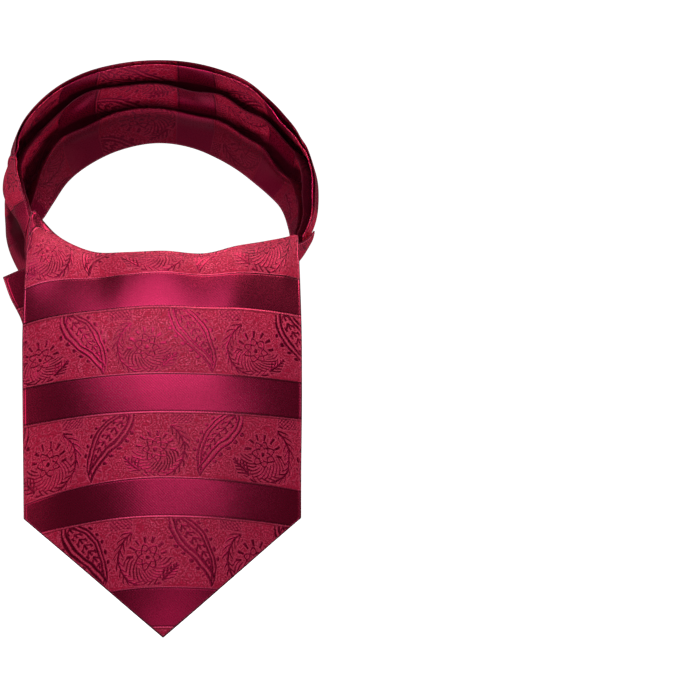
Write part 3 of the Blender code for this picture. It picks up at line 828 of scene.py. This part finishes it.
POINT_SLANT = 0.76         # distance square to the pointed end for each unit down to it
# The dark rim along the long blade's point is painted shade, where the edge turns away from the
# light.
POINT_RIM = 1.0            # at its pointed end the long blade has a dark rim this wide, and
POINT_CLEAR = 2.0          # past it the edge counts as this much further, so no hem line shows


def fold_top(across):
    """Crest of the fold, which follows the front of the loop."""
    row = reader(FOLD_ROWS, FOLD_COLUMNS, across)
    return row("angle"), row("height"), row("roll")


def blade_body(across, down):
    """Front blade below the fold: shallow arches across, hung on one curve down the middle."""
    row = reader(BLADE_ROWS, BLADE_COLUMNS, down)
    step = 0.5
    ahead = reader(BLADE_ROWS, BLADE_COLUMNS, np.minimum(down + step, BLADE_ROWS[-1][0]))
    behind = reader(BLADE_ROWS, BLADE_COLUMNS, np.maximum(down - step, BLADE_ROWS[0][0]))
    run_out = ahead("out") - behind("out")
    run_down = behind("drop") - ahead("drop")
    length = np.hypot(run_out, run_down)
    sag = np.where(across < 0.0, row("sag_left"), row("sag_right")) * np.abs(across) ** BLADE_CROWN
    return np.stack((row("shift") + row("half") * across,
                     -row("out") + sag * run_down / length,
                     row("drop") - sag * run_out / length), axis=-1)


def blade_end(across, corner, tip):
    """Length of a blade at a place across it, down to its pointed end."""
    return tip - (tip - corner) * np.abs(across)


def front_blade(across, down):
    """Long blade: up inside the loop, over the crest, and down to the point.

    Behind the crest it is a quarter turn and a straight wall inside the loop.  In front a
    smooth curve leaves the crest forwards and joins the body, which then follows its table.
    Also gives the length from the crest, negative behind it.
    """
    angle, crest, roll = fold_top(across)
    start = BLADE_ROWS[0][0]
    rise = RISE_SHARE
    arc = 0.5 * np.pi * roll
    length = (arc + crest - roll - RISE_FOOT) * np.clip((rise - down) / rise, 0.0, 1.0)
    turn = np.minimum(length / roll, 0.5 * np.pi)
    straight = np.maximum(length - arc, 0.0)
    inside = loop_point(angle, roll * np.sin(turn) + RISE_LEAN * straight,
                        crest - roll * (1.0 - np.cos(turn)) - straight)
    along_front = np.clip((down - rise) / (1.0 - rise), 0.0, 1.0) * blade_end(
        across, BLADE_CORNER, BLADE_TIP)
    fall = np.clip(along_front / start, 0.0, 1.0)[..., None]
    crest_point = loop_point(angle, 0.0 * angle, crest)
    join = blade_body(across, start + 0.0 * down)
    join_run = blade_body(across, start + 1.0 + 0.0 * down) - join
    throw = FOLD_THROW * np.array(FOLD_HEADING) + (join - crest_point) * (FOLD_SPREAD, 0.0, 0.0)
    over = (crest_point * (1.0 + 2.0 * fall) * (1.0 - fall) ** 2
            + join * (3.0 - 2.0 * fall) * fall**2
            + throw * fall * (1.0 - fall) ** 2
            - FOLD_FALL * join_run * fall**2 * (1.0 - fall))
    body = blade_body(across, np.maximum(along_front, start))
    front = np.where(along_front[..., None] < start, over, body)
    behind = down < rise
    return np.where(behind[..., None], inside, front), np.where(behind, -length, along_front)


def blade_stripes(table, across, down):
    """Length along the flat cloth, run evenly between the arched edges of the stripes."""
    total = table[0][0] + 0.0 * down
    levels = [middle + np.where(across < 0.0, left, right) * np.abs(across) ** bow
              for flat, middle, left, right, bow in table]
    for low, high, before, after in zip(levels, levels[1:], table, table[1:]):
        total = total + np.clip((down - low) / (high - low), 0.0, 1.0) * (after[0] - before[0])
    return total


blade_down, blade_across = np.meshgrid(np.linspace(0.0, 1.0, BLADE_STEPS[0]),
                                       np.linspace(-1.0, 1.0, BLADE_STEPS[1]), indexing="ij")
blade_points, blade_length = front_blade(blade_across, blade_down)
blade_flat = BLADE_WIDTH_HALF * blade_across * (1.0 + BLADE_WIDTH_BOW * np.abs(blade_across) ** 2.4)
blade_swell = creases(BLADE_CREASES, blade_flat, blade_length)
blade_swell = blade_swell * np.clip(blade_length / BLADE_SWELL_START, 0.0, 1.0)
blade_points = blade_points + outward(blade_points) * blade_swell[..., None]
blade_sides = BLADE_WIDTH_HALF * (1.0 - np.abs(blade_across))
blade_ends = (blade_end(blade_across, BLADE_CORNER, BLADE_TIP) - blade_length) * POINT_SLANT
blade_edge = np.minimum(blade_sides, np.where(blade_ends < POINT_RIM, 0.0, blade_ends + POINT_CLEAR))
blade = weave_cloth("front_blade_cloth", blade_points,
                    np.stack((blade_flat, blade_stripes(BLADE_WEAVE, blade_across, blade_length)),
                             axis=-1), blade_edge, BLADE_CLOTH, BLADE_RIM)
blade_silk = paisley_silk("blade_silk", 0.92, 0.10, 1.0, 0.5, 0.35)
blade.data.materials.append(blade_silk)
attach(blade, "root")
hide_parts("front_blade")

# ---------------------------------------------------------------------------------------------
# Under blade.  The strip's short end, hanging behind the long one from under the wrap.  Its top
# edge is turned in and stitched, and stands out at the left as a small shoulder.
# ---------------------------------------------------------------------------------------------
UNDER_COLUMNS = ("down", "out", "drop", "left", "right", "sag")
UNDER_ROWS = (
    (0.0, 84.0, -22.4, 85.0, 66.0, 13.0),
    (11.0, 90.0, -32.0, 81.0, 70.0, 13.5),
    (23.0, 96.5, -42.4, 75.0, 71.5, 14.5),
    (50.0, 109.5, -65.5, 72.5, 71.5, 16.0),
    (85.0, 127.5, -96.5, 71.5, 70.5, 17.0),
    (125.0, 145.0, -132.5, 70.5, 69.5, 18.5),
    (165.0, 159.0, -170.0, 69.5, 69.0, 19.0),
)
UNDER_EDGE_COLUMNS = ("across", "rise")
UNDER_EDGE_ROWS = ((-1.0, 0.0), (-0.86, 4.5), (-0.5, 3.5), (0.0, 0.0), (1.0, -2.0))
UNDER_EDGE_FADE = 60.0
UNDER_LEAN = (0.92, 0.38)
UNDER_CORNER = 106.0
UNDER_TIP = 162.0
UNDER_CROWN = 2.0
UNDER_STEPS = (150, 110)
UNDER_CREASES = (
    (-60.0, 14.0, 0.7, 7.0, 12.0, 0.3),
    (-30.0, 40.0, -0.6, 16.0, 24.0, 0.2),
    (8.0, 20.0, 0.6, 12.0, 16.0, -0.3),
    (36.0, 70.0, -0.6, 18.0, 26.0, 0.1),
    (-10.0, 100.0, 0.5, 18.0, 24.0, 0.0),
    (52.0, 28.0, 0.6, 8.0, 18.0, 0.2),
)
UNDER_WEAVE_START = 3.0    # where in the run of stripes the hemmed top edge lies


def under_blade(across, down):
    """Short blade: a hemmed top edge with a shoulder corner, and a point like the long one's."""
    length = down * blade_end(across, UNDER_CORNER, UNDER_TIP)
    row = reader(UNDER_ROWS, UNDER_COLUMNS, length)
    half = np.where(across < 0.0, row("left"), row("right"))
    sag = row("sag") * np.abs(across) ** UNDER_CROWN
    rise = along(UNDER_EDGE_ROWS, UNDER_EDGE_COLUMNS, "rise", across)
    rise = rise * np.clip(1.0 - length / UNDER_EDGE_FADE, 0.0, 1.0)
    return np.stack((half * across,
                     -row("out") + UNDER_LEAN[0] * sag,
                     row("drop") - UNDER_LEAN[1] * sag + rise), axis=-1), length


under_down, under_across = np.meshgrid(np.linspace(0.0, 1.0, UNDER_STEPS[0]),
                                       np.linspace(-1.0, 1.0, UNDER_STEPS[1]), indexing="ij")
under_points, under_length = under_blade(under_across, under_down)
under_flat = STRIP_HALF * under_across
under_swell = creases(UNDER_CREASES, under_flat, under_length)
under_points = under_points + outward(under_points) * under_swell[..., None]
under_sides = STRIP_HALF * (1.0 - np.abs(under_across))
under_ends = (blade_end(under_across, UNDER_CORNER, UNDER_TIP) - under_length) * POINT_SLANT
under_edge = np.minimum(np.minimum(under_sides, under_ends), under_length)
under = weave_cloth("under_blade_cloth", under_points,
                    np.stack((under_flat, under_length + UNDER_WEAVE_START), axis=-1),
                    under_edge, BLADE_CLOTH, BLADE_RIM)
under.data.materials.append(blade_silk)
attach(under, "root")
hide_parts("under_blade")

# ---------------------------------------------------------------------------------------------
# Studio: a pale floor with a pale wall behind, soft lights, and the camera.
# ---------------------------------------------------------------------------------------------
FLOOR_LEVEL = -0.60
FLOOR_HALF = 6.0
BACKDROP_BACK = 3.0
BACKDROP_TOP = 4.0
PAPER_COLOUR = (1.0, 1.0, 1.0, 1.0)


def paper(name, corners):
    """One flat sheet of pale studio paper."""
    mesh = bpy.data.meshes.new(name)
    mesh.from_pydata(corners, [], [(0, 1, 2, 3)])
    piece = bpy.data.objects.new(name, mesh)
    bpy.context.scene.collection.objects.link(piece)
    material = bpy.data.materials.new(name)
    material.use_nodes = True
    surface = material.node_tree.nodes["Principled BSDF"]
    surface.inputs["Base Color"].default_value = (0.8, 0.8, 0.8, 1.0)
    surface.inputs["Roughness"].default_value = 1.0
    surface.inputs["Emission Color"].default_value = PAPER_COLOUR
    surface.inputs["Emission Strength"].default_value = 1.0
    mesh.materials.append(material)
    piece.visible_diffuse = False
    piece.visible_glossy = False
    piece.visible_shadow = False
    return piece


paper("floor", [(-FLOOR_HALF, -FLOOR_HALF, FLOOR_LEVEL), (FLOOR_HALF, -FLOOR_HALF, FLOOR_LEVEL),
                (FLOOR_HALF, FLOOR_HALF, FLOOR_LEVEL), (-FLOOR_HALF, FLOOR_HALF, FLOOR_LEVEL)])
paper("backdrop", [(-FLOOR_HALF, BACKDROP_BACK, FLOOR_LEVEL),
                   (FLOOR_HALF, BACKDROP_BACK, FLOOR_LEVEL),
                   (FLOOR_HALF, BACKDROP_BACK, BACKDROP_TOP),
                   (-FLOOR_HALF, BACKDROP_BACK, BACKDROP_TOP)])

# Each soft light: what it is aimed at, bearing from the front, elevation, distance, width, height,
# how widely it fans out, brightness and colour.
BLADE = (0.0, -0.12, -0.04)
LEFT_WALL = (-0.075, 0.03, 0.01)
RIGHT_WALL = (0.075, 0.03, 0.01)
COOL = (1.0, 1.5, 1.5)
PLAIN = (1.0, 1.0, 1.0)
ROSE = (1.0, 0.9, 1.25)
LIGHTS = (
    ("top_front", BLADE, -9.0, 71.0, 1.1, 0.78, 0.60, 180.0, 1.6, COOL),
    ("top_mid", BLADE, -4.0, 50.0, 1.2, 0.80, 0.36, 180.0, 4.2, COOL),
    ("front", BLADE, 1.0, 35.0, 1.5, 1.00, 0.40, 180.0, 1.15, COOL),
    ("mid_front", BLADE, 13.0, 20.0, 1.5, 1.10, 0.30, 180.0, 1.7, COOL),
    ("low_front", BLADE, 3.0, -10.0, 1.2, 0.60, 0.30, 180.0, 0.9, ROSE),
    ("bounce", BLADE, 0.0, -25.0, 1.2, 1.00, 0.30, 180.0, 0.3, ROSE),
    ("below", BLADE, 0.0, -84.0, 0.5, 1.40, 1.20, 180.0, 0.4, ROSE),
    ("over", BLADE, -18.0, 118.0, 1.1, 0.80, 0.50, 180.0, 5.6, PLAIN),
    ("left", BLADE, -84.0, 10.0, 1.1, 0.60, 0.60, 180.0, 2.5, PLAIN),
    ("right", BLADE, 100.0, 12.0, 1.1, 0.60, 0.60, 180.0, 1.4, PLAIN),
    ("left_low", BLADE, -98.0, -22.0, 1.1, 0.60, 0.50, 180.0, 1.4, PLAIN),
    ("right_low", BLADE, 105.0, -12.0, 1.1, 0.60, 0.50, 180.0, 1.2, PLAIN),
    ("back_left", BLADE, -160.0, 25.0, 1.1, 0.60, 0.60, 180.0, 1.0, PLAIN),
    ("back_right", BLADE, 160.0, 25.0, 1.1, 0.60, 0.60, 180.0, 1.0, PLAIN),
    ("inner_left", LEFT_WALL, 70.0, 42.0, 0.6, 0.12, 0.12, 12.0, 0.16, ROSE),
    ("inner_right", RIGHT_WALL, -70.0, 42.0, 0.6, 0.12, 0.12, 12.0, 0.22, ROSE),
)
for name, aim, bearing, rise, distance, width, height, fan, brightness, colour in LIGHTS:
    bearing, rise = np.radians((bearing, rise))
    back = np.array((np.cos(rise) * np.sin(bearing), -np.cos(rise) * np.cos(bearing), np.sin(rise)))
    right = np.cross((0.0, 0.0, 1.0), back)
    right = right / np.linalg.norm(right)
    place = np.array(aim) + distance * back
    lamp = bpy.data.lights.new(name, "AREA")
    lamp.shape = "RECTANGLE"
    lamp.size = width
    lamp.size_y = height
    lamp.spread = np.radians(fan)
    lamp.energy = np.pi * width * height * brightness
    lamp.color = colour
    holder = bpy.data.objects.new(name, lamp)
    bpy.context.scene.collection.objects.link(holder)
    axes = np.stack((right, np.cross(back, right), back, place), axis=1)
    holder.matrix_world = Matrix([*axes.tolist(), (0.0, 0.0, 0.0, 1.0)])

world = bpy.data.worlds.new("studio")
world.use_nodes = True
world.node_tree.nodes["Background"].inputs["Color"].default_value = (1.0, 0.80, 0.85, 1.0)
world.node_tree.nodes["Background"].inputs["Strength"].default_value = 0.08
bpy.context.scene.world = world
bpy.context.scene.view_settings.view_transform = "Standard"

CAMERA_PLACE = (0.0, -1.55276877, 0.3289578)
CAMERA_LENS = 145.0
CAMERA_PITCH = np.radians(15.0)
CAMERA_YAW = np.arctan(188.5 / 2819.44)
level = np.array((0.0, np.cos(CAMERA_PITCH), -np.sin(CAMERA_PITCH)))
camera_up = np.array((0.0, np.sin(CAMERA_PITCH), np.cos(CAMERA_PITCH)))
camera_ahead = np.cos(CAMERA_YAW) * level + np.sin(CAMERA_YAW) * np.array((1.0, 0.0, 0.0))
camera_right = np.cos(CAMERA_YAW) * np.array((1.0, 0.0, 0.0)) - np.sin(CAMERA_YAW) * level
lens = bpy.data.cameras.new("camera")
lens.lens = CAMERA_LENS
camera = bpy.data.objects.new("camera", lens)
bpy.context.scene.collection.objects.link(camera)
camera.matrix_world = Matrix([(camera_right[row], camera_up[row], -camera_ahead[row],
                               CAMERA_PLACE[row]) for row in range(3)] + [(0.0, 0.0, 0.0, 1.0)])
bpy.context.scene.camera = camera
